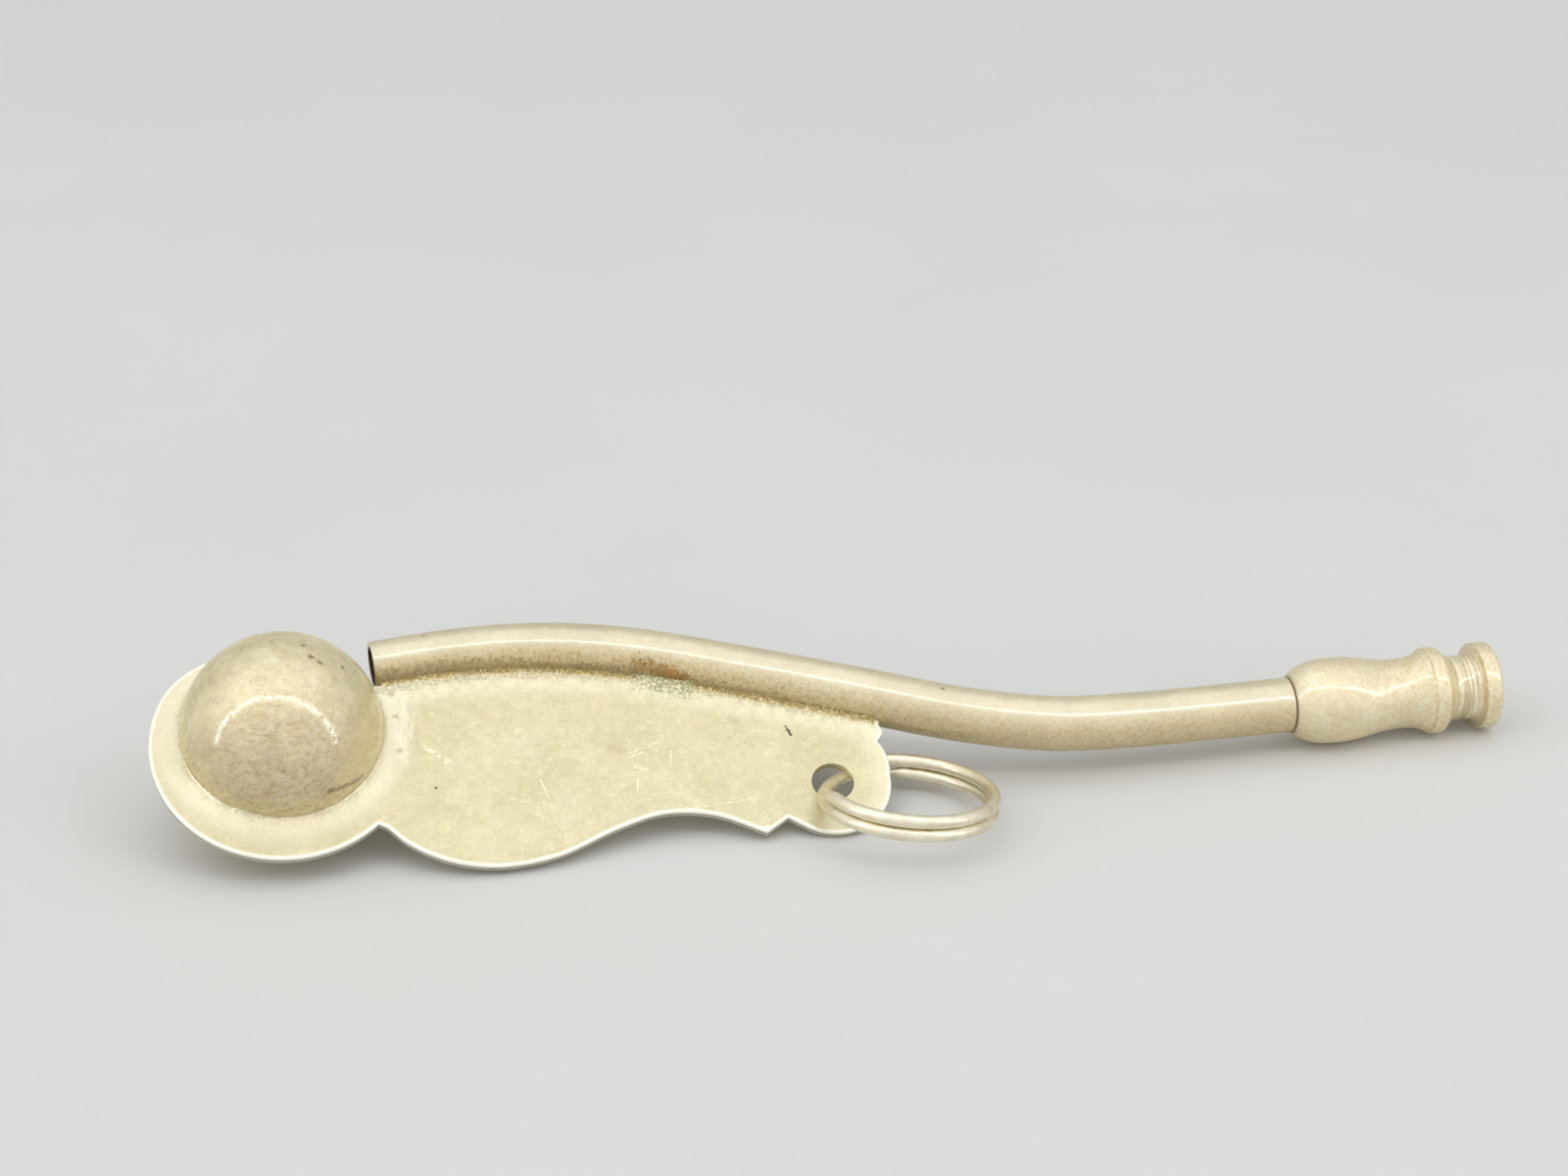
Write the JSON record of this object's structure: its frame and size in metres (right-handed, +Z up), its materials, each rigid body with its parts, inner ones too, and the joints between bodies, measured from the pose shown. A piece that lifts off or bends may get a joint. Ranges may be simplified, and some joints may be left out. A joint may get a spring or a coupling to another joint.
{
  "type": "boatswain whistle",
  "caption": "Boatswain's call: a bent blowing tube with a turned mouthpiece soldered along a flat keel plate, a hollow ball to sound the note and a split ring for the lanyard.",
  "frame": {"origin": "middle of the base of the bounding box, on the table that the call lies on", "axes": "+X along the call from the ball to the mouthpiece, +Z up from the table, +Y towards the tube's side of the keel"},
  "size_m": [0.1234, 0.0282, 0.018],
  "materials": {
    "keel": "aged nickel silver plate, satin, with pits, fine scratches and a bright worn edge",
    "buoy": "aged nickel silver shell, satin, brown-speckled low down",
    "gun": "aged nickel silver tube, drawn, with a brown grain on its lower side",
    "mouthpiece": "turned nickel silver, satin, with fine turning rings",
    "solder": "rough grey-brown solder fillet",
    "ring": "nickel-plated spring wire, worn yellow in patches"
  },
  "bodies": {
    "call": {"keel_plate": "keel", "buoy_front_shell": "buoy", "buoy_back_shell": "buoy", "gun_tube": "gun", "gun_solder_front": "solder", "gun_solder_back": "solder", "buoy_solder_front": "solder", "buoy_solder_back": "solder", "mouthpiece": "mouthpiece"},
    "ring": {"split_ring": "ring"}
  },
  "joints": [
    {"name": "ring_swing", "type": "hinge", "parent": "call", "child": "ring", "pos_m": [-0.00175, -0.00171, 0.00298], "axis": [0.0394, -0.4994, 0.8655], "range_deg": [-120, 12]}
  ]
}
